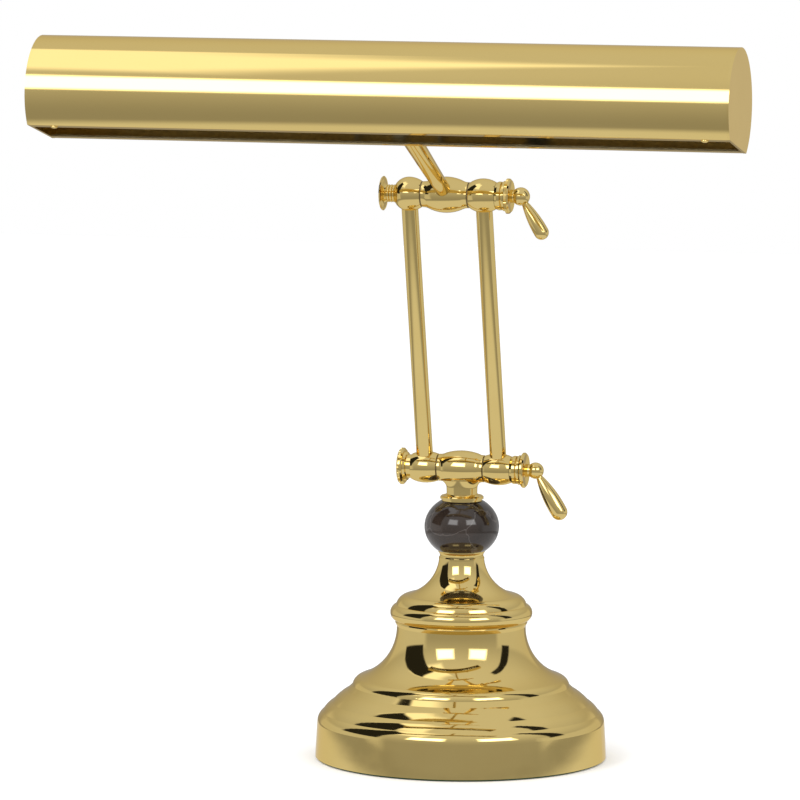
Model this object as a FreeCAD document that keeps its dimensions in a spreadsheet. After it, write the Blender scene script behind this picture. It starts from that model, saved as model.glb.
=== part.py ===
import FreeCAD, Part
import math
import os
import re
import Sketcher

Vector = FreeCAD.Vector

# Driving sizes in millimetres and degrees. Heights of the base profile are taken from the brass rim.
sizes = {
    # felt, rim and foot of the base
    "rim_lift": 0.8,
    "felt_thick": 2.0,
    "felt_inset": 1.4,
    "plate_inset": 1.1,
    "plate_thick": 1.2,
    "base_radius": 76.2,
    "base_wall": 1.0,
    "foot_height": 18.0,
    "foot_taper": 1.0,
    "slope_start_inset": 3.9,
    "slope_start_height": 23.5,
    "foot_round": 7.0,
    "band_one_inset": 8.9,
    "band_one_height": 28.4,
    "band_two_inset": 16.5,
    "band_two_height": 34.6,
    "roll_foot_inset": 19.4,
    "roll_foot_height": 37.3,
    "tier_inset": 23.2,
    "tier_height": 41.7,
    "band_bulge": 0.45,
    "roll_bulge": 0.9,
    "waist_round_extra": 1.0,
    # waist, shoulder beads and upper sweep
    "waist_radius": 33.7,
    "waist_height": 68.6,
    "ledge_radius": 34.6,
    "ledge_height": 70.6,
    "shoulder_foot_radius": 34.2,
    "shoulder_low": 71.4,
    "shoulder_high": 79.9,
    "shoulder_groove_radius": 34.1,
    "shoulder_bead_bulge": 3.0,
    "cap_bead_radius": 28.2,
    "cap_bead_height": 85.0,
    "cap_bead_round": 6.5,
    "sweep_round": 22.0,
    "throat_radius": 11.8,
    "throat_height": 103.9,
    "throat_inset": 1.5,
    "shoulder_drop": 1.6,
    "slope_drop": 1.3,
    # centre rod, weight and fasteners of the base
    "rod_radius": 4.8,
    "rod_bore": 3.1,
    "rod_start": 4.6,
    "rod_end_below_joint": 6.0,
    "rod_clearance": 0.3,
    "fit": 0.05,
    "nut_flats": 15.0,
    "nut_thick": 4.6,
    "washer_radius": 11.0,
    "washer_thick": 1.2,
    "nut_lift": 0.6,
    "nut_recess_radius": 12.5,
    "weight_inset": 3.2,
    "weight_step": 16.0,
    "weight_top_inset": 26.2,
    "weight_top": 38.0,
    "weight_chamfer": 3.0,
    "cord_height": 10.0,
    "cord_channel": 3.6,
    "bushing_bore": 2.4,
    "bushing_flange": 5.2,
    "bushing_seat": 0.2,
    "bushing_step": 0.9,
    "bushing_tail": 3.0,
    "bushing_proud": 1.8,
    # stone ball and its collars
    "collar_height": 4.4,
    "collar_waist": 11.4,
    "collar_foot": 11.9,
    "collar_lip": 12.2,
    "collar_foot_height": 0.8,
    "collar_sweep_start": 1.5,
    "collar_sweep": 2.6,
    "collar_lip_height": 0.7,
    "ball_radius": 19.5,
    "ball_half_height": 16.5,
    "ball_centre": 121.7,
    "ball_top": 135.4,
    "cap_ring_radius": 10.4,
    "cap_ring_height": 1.0,
    "cap_flange_radius": 11.3,
    "cap_flange_height": 2.6,
    "cap_height": 3.4,
    "cap_flange_chamfer": 0.6,
    "cap_sweep": 1.6,
    "cap_top_radius": 8.4,
    "neck_radius": 8.0,
    "neck_sink": 5.3,
    # joints, shared by both ends of the arm
    "joint_height": 152.3,
    "bolt_radius": 3.0,
    "knuckle_half": 12.0,
    "knuckle_flare": 3.4,
    "knuckle_flare_round": 6.0,
    "knuckle_flare_rise": 0.75,
    "lower_knuckle_end": 7.1,
    "lower_knuckle_radius": 9.2,
    "upper_knuckle_end": 6.7,
    "upper_knuckle_radius": 9.3,
    "friction_washer": 0.75,
    "friction_radius": 6.5,
    "bead_half": 6.9,
    "lower_bead_radius": 8.3,
    "upper_bead_radius": 8.8,
    "lower_bead_end": 6.8,
    "upper_left_bead_end": 4.8,
    "upper_right_bead_end": 6.8,
    "ring_radius": 7.3,
    "ring_width": 2.9,
    "groove_radius": 6.0,
    "groove_width": 2.2,
    "ring_crown": 0.1,
    "ring_chamfer": 0.4,
    "washer_rim": 1.1,
    "washer_rim_rise": 0.4,
    # arm
    "arm_length": 150.0,
    "arm_lean": 14.0,
    "arm_tube_radius": 4.3,
    "arm_tube_wall": 0.8,
    "tube_floor": 5.0,
    # left knob of the lower joint and left finial of the upper joint
    "knob_neck_radius": 6.2,
    "knob_neck_width": 2.4,
    "knob_step_radius": 7.4,
    "knob_step_width": 1.6,
    "knob_radius": 9.6,
    "knob_width": 2.7,
    "knob_edge": 0.8,
    "knob_blend": 0.3,
    "knob_crown": 0.5,
    "notch_radius": 0.75,
    "notch_count": 20,
    "finial_bead_radius": 4.4,
    "finial_bead_width": 1.5,
    "finial_groove": 0.35,
    "finial_flare": 2.6,
    "finial_flare_round": 4.5,
    "finial_radius": 8.9,
    "finial_rim": 0.8,
    "finial_edge": 0.3,
    "finial_dome": 0.5,
    # clamp levers
    "lever_gap": 0.1,
    "lower_disc_radius": 9.2,
    "upper_disc_radius": 8.8,
    "disc_width": 2.6,
    "disc_edge": 0.7,
    "disc_hollow": 1.6,
    "disc_foot": 0.5,
    "disc_dish": 0.6,
    "lever_neck_radius": 3.3,
    "bolt_clearance": 0.2,
    "lower_lever_ball": 4.3,
    "upper_lever_ball": 4.7,
    "lever_ball_centre": 39.4,
    "lever_splay": 31.0,
    "lower_lever_length": 29.0,
    "upper_lever_length": 25.0,
    "lever_thin": 1.8,
    "lower_lever_thick": 4.3,
    "upper_lever_thick": 3.8,
    "lever_side_round": 60.0,
    # stem
    "stem_angle": 65.0,
    "stem_reach": 132.9,
    "stem_floor": 5.2,
    "stem_straight": 9.0,
    "stem_thin": 3.9,
    "stem_thick": 5.0,
    "stem_bore": 2.6,
    "nipple_bore": 1.5,
    "nipple_grip": 12.0,
    "nipple_proud": 8.0,
    "shade_collar_height": 5.0,
    "shade_collar_radius": 7.6,
    "shade_collar_lip": 0.5,
    "shade_collar_sweep": 4.2,
    "shade_collar_rim": 1.1,
    "shade_nut_flats": 9.0,
    "shade_nut_thick": 3.2,
    # shade
    "shade_length": 355.6,
    "shade_radius": 28.575,
    "shade_wall": 1.0,
    "opening_tilt": 13.0,
    "opening_depth": 20.0,
    "lip_width": 6.0,
    "end_cap_thick": 1.4,
    "tab_length": 18.0,
    "tab_thick": 1.0,
    "tab_inset": 0.5,
    "tab_screw_inset": 13.0,
    "screw_radius": 1.0,
    "screw_head_radius": 1.9,
    "screw_head_height": 1.1,
    "screw_proud": 0.9,
    "screw_crown_radius": 1.1,
    "screw_crown": 0.15,
    "screw_edge": 0.3,
    # lamp holders and bulbs
    "bracket_half": 22.0,
    "bracket_thick": 1.5,
    "bracket_half_width": 6.5,
    "bracket_depth": 26.5,
    "bracket_rise": 8.0,
    "socket_length": 28.0,
    "socket_radius": 12.5,
    "socket_floor": 3.0,
    "socket_chamfer": 1.0,
    "socket_bore": 10.3,
    "bulb_base_radius": 10.0,
    "bulb_base_length": 22.0,
    "bulb_base_wall": 0.8,
    "bulb_base_chamfer": 1.2,
    "bulb_contact_radius": 3.0,
    "bulb_contact": 1.8,
    "bulb_gap": 0.6,
    "bulb_radius": 13.5,
    "bulb_length": 109.0,
    "bulb_neck": 7.0,
    "glass_wall": 0.8,
    # rotary switch on the back of the shade
    "switch_place": 70.0,
    "switch_bush": 3.2,
    "switch_body_radius": 6.0,
    "switch_body_depth": 8.0,
    "switch_body_gap": 1.0,
    "switch_bush_end": 0.1,
    "switch_nut_radius": 5.6,
    "switch_nut_thick": 1.8,
    "switch_nut_chamfer": 0.5,
    "switch_shaft_radius": 1.6,
    "switch_shaft_length": 9.0,
    "knob_gap": 0.4,
    "switch_knob_radius": 5.2,
    "switch_knob_length": 9.0,
    "switch_knob_skirt": 1.2,
    "switch_knob_draft": 0.5,
    "switch_knob_round": 0.8,
    "switch_knob_crown": 0.3,
    "switch_knob_pointer": 0.8,
    "switch_pointer_sink": 0.8,
    "switch_pointer_rise": 0.7,
    "switch_pointer_inset": 1.0,
}

# Places used by several pieces, written from the sizes above.
throat_top = "(rim_lift + throat_height)"
weight_foot = "(felt_thick + plate_thick)"
bead_centre = "(knuckle_half + fit + friction_washer + bead_half)"
bead_outer = "(knuckle_half + fit + friction_washer + 2 * bead_half)"
disc_start = "(knuckle_half + fit + friction_washer + 2 * bead_half + ring_width + groove_width + lever_gap)"
upper_back = "(-arm_length * sin(arm_lean))"
upper_height = "(joint_height + arm_length * cos(arm_lean))"
shade_back = "(-arm_length * sin(arm_lean) - stem_reach * sin(stem_angle))"
shade_height = "(joint_height + arm_length * cos(arm_lean) + stem_reach * cos(stem_angle))"
shade_half = "(shade_length / 2)"
shell_half = "(shade_length / 2 - end_cap_thick)"
inner_radius = "(shade_radius - shade_wall)"
half_chord = "sqrt(shade_radius ^ 2 - opening_depth ^ 2)"
inner_chord = "sqrt((shade_radius - shade_wall) ^ 2 - (opening_depth - shade_wall) ^ 2)"
wall_face = "(stem_reach - shade_radius)"
bracket_face = "(stem_reach - bracket_depth)"

document = FreeCAD.newDocument("PianoLamp")
sheet = document.addObject("Spreadsheet::Sheet", "Sizes")
for row, (alias, value) in enumerate(sizes.items(), start=1):
    sheet.set(f"A{row}", alias)
    sheet.set(f"B{row}", str(value))
    sheet.setAlias(f"B{row}", alias)
document.recompute()

subparts = []


def bound(text):
    """The text with each size named as its cell of the sheet."""
    return re.sub(r"[a-z]\w*", lambda word: f"Sizes.{word[0]}" if word[0] in sizes else word[0], text)


def number(text):
    """The value of a text of sizes."""
    return float(sheet.evalExpression(bound(text)))


def origin_plane(body, role):
    """The body's own plane with this role."""
    return next(feature for feature in body.Origin.OriginFeatures if feature.Role == role)


def new_body(label):
    """An empty body with its own label, kept in the list of sub-parts."""
    body = document.addObject("PartDesign::Body", label)
    body.Label = label
    subparts.append(body)
    return body


def place(piece, across="0", back="0", up="0", lean="0"):
    """Seat a piece, leaning forward about X; all four values follow the sheet."""
    angle = number(lean)
    if angle:
        piece.Placement = FreeCAD.Placement(Vector(), FreeCAD.Rotation(Vector(1, 0, 0), angle))
        piece.setExpression("Placement.Rotation.Angle", bound(lean))
    piece.setExpression("Placement.Base.x", bound(across))
    piece.setExpression("Placement.Base.y", bound(back))
    piece.setExpression("Placement.Base.z", bound(up))
    return piece


def at_upper_joint(piece, across="0", lean="arm_lean"):
    """Seat a piece at the upper joint's centre, in the arm's direction unless another is given."""
    return place(piece, across, upper_back, upper_height, lean)


def at_shade(piece):
    """Seat a piece at the middle of the shade's axis, square to its opening."""
    return place(piece, "0", shade_back, shade_height, "-opening_tilt")


def arc_middle(start, end, radius, side, reach):
    """The middle point of an arc whose centre lies on this side of the way from start to end."""
    chord = end - start
    normal = Vector(-chord.y, chord.x, 0).normalize()
    rise = math.sqrt(max(radius ** 2 - (chord.Length / 2) ** 2, 0))
    centre = (start + end) * 0.5 + normal * (side * reach * rise)
    return centre - normal * (side * radius)


def draw_outline(sketch, points):
    """A closed outline of (x, y) corners; (x, y, radius, side[, reach]) starts an arc instead of a line."""
    corners = [Vector(number(point[0]), number(point[1]), 0) for point in points]
    count = len(points)
    starts = []
    for index, point in enumerate(points):
        start = corners[index]
        end = corners[(index + 1) % count]
        if len(point) == 2:
            edge = sketch.addGeometry(Part.LineSegment(start, end))
        else:
            reach = point[4] if len(point) == 5 else 1
            middle = arc_middle(start, end, number(point[2]), point[3], reach)
            edge = sketch.addGeometry(Part.Arc(start, middle, end))
        first_is_start = sketch.getPoint(edge, 1).distanceToPoint(start) < 1e-6
        starts.append((edge, 1 if first_is_start else 2))
    for index, (edge, vertex) in enumerate(starts):
        next_edge, next_vertex = starts[(index + 1) % count]
        sketch.addConstraint(Sketcher.Constraint("Coincident", edge, 3 - vertex, next_edge, next_vertex))
    for index, (edge, vertex) in enumerate(starts):
        for kind, text in (("DistanceX", points[index][0]), ("DistanceY", points[index][1])):
            rule = sketch.addConstraint(Sketcher.Constraint(kind, -1, 1, edge, vertex, number(text)))
            sketch.setExpression(f"Constraints[{rule}]", bound(text))
        if len(points[index]) > 2:
            radius = points[index][2]
            rule = sketch.addConstraint(Sketcher.Constraint("Radius", edge, number(radius)))
            sketch.setExpression(f"Constraints[{rule}]", bound(radius))


def new_sketch(body, name, role, shift=("0", "0", "0"), turn="0"):
    """A sketch on one of the body's own planes, moved and turned in it."""
    sketch = body.newObject("Sketcher::SketchObject", name)
    sketch.AttachmentSupport = [(origin_plane(body, role), "")]
    sketch.MapMode = "FlatFace"
    angle = number(turn)
    if angle:
        sketch.AttachmentOffset = FreeCAD.Placement(Vector(), FreeCAD.Rotation(Vector(0, 0, 1), angle))
        sketch.setExpression("AttachmentOffset.Rotation.Angle", bound(turn))
    for axis, text in zip("xyz", shift):
        if text != "0":
            sketch.setExpression(f"AttachmentOffset.Base.{axis}", bound(text))
    return sketch


def turned(body, points, axis="V_Axis", cut=False, role="XZ_Plane", shift=("0", "0", "0"), turn="0"):
    """Add, or cut, an outline turned about one of its sketch's axes."""
    kind = "Groove" if cut else "Revolution"
    name = f"{body.Label}_{kind}{len(body.Group)}"
    sketch = new_sketch(body, f"{name}_outline", role, shift, turn)
    draw_outline(sketch, points)
    feature = body.newObject(f"PartDesign::{kind}", name)
    feature.Profile = sketch
    feature.ReferenceAxis = (sketch, [axis])
    feature.Angle = 360
    return feature


def padded(body, points, length, role="YZ_Plane", shift=("0", "0", "0")):
    """Add an outline drawn out along its sketch's normal."""
    name = f"{body.Label}_Pad{len(body.Group)}"
    sketch = new_sketch(body, f"{name}_outline", role, shift)
    draw_outline(sketch, points)
    feature = body.newObject("PartDesign::Pad", name)
    feature.Profile = sketch
    feature.Length = number(length)
    feature.setExpression("Length", bound(length))
    return feature


def ring(inner, outer, low, high):
    """The outline of a plain ring or disc."""
    return [(inner, low), (outer, low), (outer, high), (inner, high)]


def hexagon(flats):
    """The outline of a hexagon, flats across, centred on its sketch."""
    corner = f"({flats} / 2 / cos(30))"
    return [(f"{corner} * cos({turn})", f"{corner} * sin({turn})") for turn in range(0, 360, 60)]


def crown_radius(half, rise):
    """The radius of an arc that rises this much over this half length and is level at its top."""
    return f"((({half}) ^ 2 + ({rise}) ^ 2) / (2 * ({rise})))"


def band_round(low, high, bulge):
    """The radius of a band of the base that bulges this much between its two named edges."""
    chord = f"sqrt(({high}_inset - {low}_inset) ^ 2 + ({high}_height - {low}_height) ^ 2)"
    return crown_radius(f"{chord} / 2", bulge)


def band(low, high, bulge):
    """The outline's start of a band of the base, from its low edge towards its high one."""
    return (f"base_radius - {low}_inset", f"{low}_height", band_round(low, high, bulge), 1)


def base_shell():
    """Spun brass shell: upright foot, three turned bands, bell waist, two shoulder beads and a throat."""
    body = place(new_body("base_shell"), up="rim_lift")
    wall = "base_wall"
    bead_round = crown_radius("(shoulder_high - shoulder_low) / 2", "shoulder_bead_bulge")
    waist_round = "waist_height - tier_height + waist_round_extra"
    turned(body, [
        ("base_radius", "0"),
        ("base_radius - foot_taper", "foot_height", "foot_round", 1),
        band("slope_start", "band_one", "band_bulge"),
        band("band_one", "band_two", "band_bulge"),
        ("base_radius - band_two_inset", "band_two_height"),
        band("roll_foot", "tier", "roll_bulge"),
        ("base_radius - tier_inset", "tier_height", waist_round, -1),
        ("waist_radius", "waist_height"),
        ("ledge_radius", "ledge_height"),
        ("shoulder_foot_radius", "shoulder_low", bead_round, 1),
        ("shoulder_groove_radius", "shoulder_high", "cap_bead_round", 1),
        ("cap_bead_radius", "cap_bead_height", "sweep_round", -1),
        ("throat_radius", "throat_height"),
        ("rod_radius + fit", "throat_height"),
        ("rod_radius + fit", f"throat_height - {wall}"),
        (f"throat_radius - throat_inset", f"throat_height - {wall}", f"sweep_round + {wall}", 1),
        (f"cap_bead_radius - {wall}", "cap_bead_height - shoulder_drop"),
        ("shoulder_groove_radius - shoulder_drop", f"shoulder_high - {wall}"),
        (f"waist_radius - {wall}", f"shoulder_low - {wall}"),
        (f"waist_radius - {wall}", "waist_height", f"{waist_round} + {wall}", 1),
        (f"base_radius - tier_inset - {wall}", f"tier_height - {wall}"),
        (f"base_radius - roll_foot_inset - {wall}", f"roll_foot_height - {wall}"),
        (f"base_radius - band_one_inset - {wall}", f"band_one_height - {wall}"),
        (f"base_radius - slope_start_inset - {wall}", "slope_start_height - slope_drop"),
        (f"base_radius - foot_taper - {wall}", f"foot_height - {wall}"),
        (f"base_radius - {wall}", "0"),
    ])
    inlet = ring("0", "cord_channel", "base_radius - 8", "base_radius + 2")
    turned(body, inlet, cut=True, role="XY_Plane", shift=("0", "0", "cord_height - rim_lift"))


def base_weight():
    """Cast iron weight with a recess for the nut and a channel for the lead."""
    body = place(new_body("base_weight"), up=weight_foot)
    recess = "nut_lift + nut_thick + washer_thick"
    outer = "base_radius - weight_inset"
    top = "base_radius - weight_top_inset"
    turned(body, [
        ("nut_recess_radius", "0"),
        (outer, "0"),
        (outer, "weight_step"),
        (top, f"weight_top - {weight_foot} - weight_chamfer"),
        (f"{top} - weight_chamfer", f"weight_top - {weight_foot}"),
        ("rod_radius + fit", f"weight_top - {weight_foot}"),
        ("rod_radius + fit", recess),
        ("nut_recess_radius", recess),
    ])
    channel = ring("0", "cord_channel", "nut_recess_radius - 2", f"{outer} + 2")
    turned(body, channel, cut=True, role="XY_Plane", shift=("0", "0", f"cord_height - {weight_foot}"))


def plain_base_pieces():
    """Felt, bottom plate, centre rod, washer, hexagon nut and cord bushing."""
    felt = place(new_body("felt_pad"))
    turned(felt, ring("0", "base_radius - felt_inset", "0", "felt_thick"))
    plate = place(new_body("bottom_plate"), up="felt_thick")
    turned(plate, ring("0", "base_radius - plate_inset", "0", "plate_thick"))
    rod = place(new_body("centre_rod"))
    turned(rod, ring("rod_bore", "rod_radius", "rod_start", "joint_height - rod_end_below_joint"))
    nut_base = f"({weight_foot} + nut_lift)"
    washer = place(new_body("rod_washer"), up=f"{nut_base} + nut_thick")
    turned(washer, ring("rod_radius + fit", "washer_radius", "0", "washer_thick"))
    nut = place(new_body("rod_nut"), up=nut_base)
    padded(nut, hexagon("nut_flats"), "nut_thick", role="XY_Plane")
    turned(nut, ring("0", "rod_radius + fit", "-1", "nut_thick + 1"), cut=True)
    bushing = place(new_body("cord_bushing"), back="base_radius", up="cord_height", lean="-90")
    turned(bushing, [
        ("bushing_bore", "-base_wall - bushing_tail"),
        ("cord_channel - fit", "-base_wall - bushing_tail"),
        ("cord_channel - fit", "bushing_seat"),
        ("bushing_flange", "bushing_seat"),
        ("bushing_flange", "bushing_step"),
        ("cord_channel", "bushing_proud"),
        ("bushing_bore", "bushing_proud"),
    ])


def ball_and_collars():
    """Oblate stone ball between a brass collar below and a stepped cap above."""
    collar = place(new_body("lower_collar"), up=throat_top)
    turned(collar, [
        ("rod_radius + fit", "0"),
        ("collar_foot", "0"),
        ("collar_foot", "collar_foot_height"),
        ("collar_waist", "collar_sweep_start", "collar_sweep", -1),
        ("collar_lip", "collar_height - collar_lip_height"),
        ("collar_lip", "collar_height"),
        ("rod_radius + fit", "collar_height"),
    ])
    ball = document.addObject("Part::Ellipsoid", "ball_form")
    ball.setExpression("Radius1", bound("ball_half_height"))
    ball.setExpression("Radius2", bound("ball_radius"))
    ball.setExpression("Radius3", bound("ball_radius"))
    ball.Angle1 = -90
    ball.Angle2 = 90
    ball.setExpression("Placement.Base.z", bound("ball_centre"))
    band = document.addObject("Part::Cylinder", "ball_band")
    band.setExpression("Radius", bound("ball_radius + 2"))
    band.setExpression("Height", bound(f"ball_top - {throat_top} - collar_height"))
    band.setExpression("Placement.Base.z", bound(f"{throat_top} + collar_height"))
    trimmed = document.addObject("Part::Common", "ball_trimmed")
    trimmed.Base = ball
    trimmed.Tool = band
    bore = document.addObject("Part::Cylinder", "ball_bore")
    bore.setExpression("Radius", bound("rod_radius + fit"))
    bore.setExpression("Height", bound("ball_top"))
    bore.setExpression("Placement.Base.z", bound("rim_lift"))
    stone = document.addObject("Part::Cut", "marble_ball")
    stone.Base = trimmed
    stone.Tool = bore
    stone.Label = "marble_ball"
    subparts.append(stone)
    cap = place(new_body("ball_cap"), up="ball_top")
    turned(cap, [
        ("rod_radius + fit", "0"),
        ("cap_ring_radius", "0"),
        ("cap_ring_radius", "cap_ring_height"),
        ("cap_flange_radius", "cap_ring_height"),
        ("cap_flange_radius", "cap_flange_height - cap_flange_chamfer"),
        ("cap_flange_radius - cap_flange_chamfer", "cap_flange_height", "cap_sweep", -1),
        ("cap_top_radius", "cap_height"),
        ("rod_radius + fit", "cap_height"),
    ])


def knuckle_outline(radius, end, core):
    """A barrel about X: a crowned middle that flares in to both ends, down to this core radius."""
    middle = "(knuckle_half - knuckle_flare)"
    step = f"({end} + knuckle_flare_rise)"
    return [
        ("-knuckle_half", core),
        ("-knuckle_half", end, "knuckle_flare_round", 1),
        (f"-{middle}", step, crown_radius(middle, f"{radius} - {step}"), -1),
        (middle, step, "knuckle_flare_round", 1),
        ("knuckle_half", end),
        ("knuckle_half", core),
    ]


def lower_knuckle():
    """Centre barrel of the lower joint with its neck, screwed on the rod."""
    body = place(new_body("lower_knuckle"), up="joint_height")
    turned(body, knuckle_outline("lower_knuckle_radius", "lower_knuckle_end", "0"), axis="H_Axis")
    neck_foot = "ball_top + cap_height - joint_height"
    turned(body, [
        ("0", neck_foot),
        ("neck_radius", neck_foot),
        ("neck_radius", "-neck_sink"),
        ("0", "-neck_sink"),
    ])
    rod_hole = ring("0", "rod_radius + fit", f"{neck_foot} - 1", "-rod_end_below_joint + rod_clearance")
    turned(body, rod_hole, cut=True)
    turned(body, [
        ("-knuckle_half - 1", "0"),
        ("knuckle_half + 1", "0"),
        ("knuckle_half + 1", "bolt_radius + fit"),
        ("-knuckle_half - 1", "bolt_radius + fit"),
    ], axis="H_Axis", cut=True)


def upper_knuckle():
    """Centre barrel of the upper joint, bored for the stem."""
    body = at_upper_joint(new_body("upper_knuckle"), lean="stem_angle")
    outline = knuckle_outline("upper_knuckle_radius", "upper_knuckle_end", "bolt_radius + fit")
    turned(body, outline, axis="H_Axis")
    turned(body, ring("0", "stem_thin + fit", "stem_floor", "upper_knuckle_radius + 2"), cut=True)


def bead(label, side, seat, outer_end, opening):
    """Bead soldered on a tube's end; the outer end may be drawn in, and the tube enters on one side."""
    joint = label.split("_")[0]
    middle = f"{joint}_bead_radius"
    across = f"{side} * {bead_centre}"
    body = seat(new_body(label), across, lean="arm_lean")
    inner = f"{joint}_knuckle_end"
    left, right = (outer_end, inner) if side < 0 else (inner, outer_end)
    bore = "bolt_radius + fit"
    turned(body, [
        ("-bead_half", bore),
        ("-bead_half", left, crown_radius("bead_half", f"{middle} - {left}"), -1),
        ("0", middle, crown_radius("bead_half", f"{middle} - {right}"), -1),
        ("bead_half", right),
        ("bead_half", bore),
    ], axis="H_Axis")
    low, high = ("tube_floor", f"{middle} + 2") if opening > 0 else (f"-{middle} - 2", "-tube_floor")
    turned(body, ring("0", "arm_tube_radius + fit", low, high), cut=True)


def at_lower_joint(piece, across="0", lean="arm_lean"):
    """Seat a piece at the lower joint's centre, in the arm's direction unless another is given."""
    return place(piece, across, "0", "joint_height", lean)


def arm_tubes():
    """Two straight tubes between the joints, one each side of the knuckles."""
    for label, side in (("left_arm_tube", -1), ("right_arm_tube", 1)):
        body = at_lower_joint(new_body(label), f"{side} * {bead_centre}")
        bore = "arm_tube_radius - arm_tube_wall"
        turned(body, ring(bore, "arm_tube_radius", "tube_floor", "arm_length - tube_floor"))


def friction_washers(label, seat):
    """Two fibre washers that grip the knuckle, one at each end."""
    for name, side in ((f"{label}_left_friction_washer", -1), (f"{label}_right_friction_washer", 1)):
        body = seat(new_body(name), f"{side} * (knuckle_half + fit + friction_washer / 2)")
        half = "friction_washer / 2"
        turned(body, [
            (f"-{half}", "bolt_radius + fit"),
            (half, "bolt_radius + fit"),
            (half, "friction_radius"),
            (f"-{half}", "friction_radius"),
        ], axis="H_Axis")


def clamp_ring(label, seat):
    """Loose brass ring between the right bead and the lever's disc, with a turned groove."""
    body = seat(new_body(label), bead_outer)
    end = "ring_width + groove_width"
    turned(body, [
        ("0", "bolt_radius + fit"),
        (end, "bolt_radius + fit"),
        (end, "ring_radius + washer_rim_rise"),
        (f"{end} - washer_rim", "ring_radius + washer_rim_rise"),
        (f"{end} - washer_rim", "groove_radius"),
        ("ring_width", "groove_radius"),
        ("ring_width", "ring_radius"),
        ("ring_width / 2", "ring_radius + ring_crown"),
        ("ring_chamfer / 2", "ring_radius - ring_chamfer"),
        ("0", "ring_radius - 2 * ring_chamfer"),
    ], axis="H_Axis")


def clamp_bolt(label, seat, left_end):
    """Bolt along the joint's axis, held by the left knob and threaded in the lever."""
    body = seat(new_body(label))
    turned(body, [
        (left_end, "0"),
        (f"{disc_start} + disc_width", "0"),
        (f"{disc_start} + disc_width", "bolt_radius"),
        (left_end, "bolt_radius"),
    ], axis="H_Axis")


def lower_knob():
    """Left knob of the lower joint: neck, step and a notched rim."""
    body = at_lower_joint(new_body("lower_left_knob"), f"-{bead_outer}")
    step = "-knob_neck_width"
    rim = "-knob_neck_width - knob_step_width"
    face = "-knob_neck_width - knob_step_width - knob_width"
    turned(body, [
        ("0", "bolt_radius + fit"),
        ("0", "knob_neck_radius"),
        (step, "knob_neck_radius"),
        (f"{step} - knob_blend", "knob_step_radius"),
        (rim, "knob_step_radius + knob_blend"),
        (rim, "knob_radius - knob_edge"),
        (f"{rim} - knob_edge", "knob_radius"),
        (f"{face} + knob_edge", "knob_radius"),
        (face, "knob_radius - knob_edge"),
        (f"{face} - knob_crown", "0"),
        (rim, "0"),
        (rim, "bolt_radius + fit"),
    ], axis="H_Axis")
    document.recompute()
    sketch = new_sketch(body, "knob_notch_outline", "YZ_Plane", ("0", "0", f"{rim} - knob_width / 2"))
    notch = sketch.addGeometry(Part.Circle(Vector(0, sizes["knob_radius"], 0), Vector(0, 0, 1), 1))
    rule = sketch.addConstraint(Sketcher.Constraint("DistanceY", -1, 1, notch, 3, sizes["knob_radius"]))
    sketch.setExpression(f"Constraints[{rule}]", bound("knob_radius + notch_radius * 0.25"))
    sketch.addConstraint(Sketcher.Constraint("DistanceX", -1, 1, notch, 3, 0))
    rule = sketch.addConstraint(Sketcher.Constraint("Radius", notch, sizes["notch_radius"]))
    sketch.setExpression(f"Constraints[{rule}]", bound("notch_radius"))
    pocket = body.newObject("PartDesign::Pocket", "knob_notch")
    pocket.Profile = sketch
    pocket.setExpression("Length", bound("knob_width"))
    document.recompute()
    pattern = body.newObject("PartDesign::PolarPattern", "knob_notches")
    pattern.Originals = [pocket]
    pattern.Axis = (origin_plane(body, "X_Axis"), [""])
    pattern.Angle = 360
    pattern.setExpression("Occurrences", bound("notch_count"))
    body.Tip = pattern


def upper_finial():
    """Left finial of the upper joint: three small beads and a flared, slightly domed disc."""
    body = at_upper_joint(new_body("upper_left_finial"), f"-{bead_outer}")
    width = "finial_bead_width"
    small = f"({width} / 2 + fit)"
    points = [("0", "bolt_radius + fit")]
    for count in range(3):
        points.append((f"-{count} * {width}", "finial_bead_radius - finial_groove", small, 1))
    rim = f"-3 * {width} - finial_flare + finial_rim"
    points += [
        (f"-3 * {width}", "finial_bead_radius - finial_groove", "finial_flare_round", -1),
        (rim, "finial_radius - finial_edge"),
        (f"{rim} - finial_edge", "finial_radius"),
        (f"{rim} - finial_rim", "finial_radius - finial_edge"),
        (f"{rim} - finial_rim - finial_dome", "0"),
        (f"-3 * {width}", "0"),
        (f"-3 * {width}", "bolt_radius + fit"),
    ]
    turned(body, points, axis="H_Axis")


def clamp_lever(label, seat):
    """Lever nut: dished disc, ball and a tapered handle splayed outwards."""
    body = seat(new_body(label), lean="0")
    joint = label.split("_")[0]
    disc = f"{joint}_disc_radius"
    ball = f"{joint}_lever_ball"
    length = f"{joint}_lever_length"
    thick = f"{joint}_lever_thick"
    start = disc_start
    end = f"{disc_start} + disc_width"
    bore = "bolt_radius + fit"
    touch = f"(lever_ball_centre - sqrt({ball} ^ 2 - lever_neck_radius ^ 2))"
    turned(body, [
        (start, bore),
        (start, f"{disc} - disc_hollow"),
        (f"{start} + disc_foot", f"{disc} - disc_edge"),
        (f"{start} + 2 * disc_foot", disc),
        (f"{end} - disc_edge", disc),
        (end, f"{disc} - disc_edge"),
        (f"{end} - disc_dish", "lever_neck_radius + disc_edge"),
        (f"{end} - disc_dish / 2", "lever_neck_radius"),
        (touch, "lever_neck_radius", ball, -1),
        (f"lever_ball_centre + {ball}", "0"),
        (f"{end} + bolt_clearance", "0"),
        (f"{end} + bolt_clearance", bore),
    ], axis="H_Axis")
    tip = f"-{length}"
    turned(body, [
        ("0", "0"),
        ("0", tip, thick, 1),
        (thick, f"{tip} + {thick}", "lever_side_round", 1),
        ("lever_thin", f"-{ball}"),
        ("lever_thin", "0"),
    ], shift=("lever_ball_centre", "0", "0"), turn="lever_splay")


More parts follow.
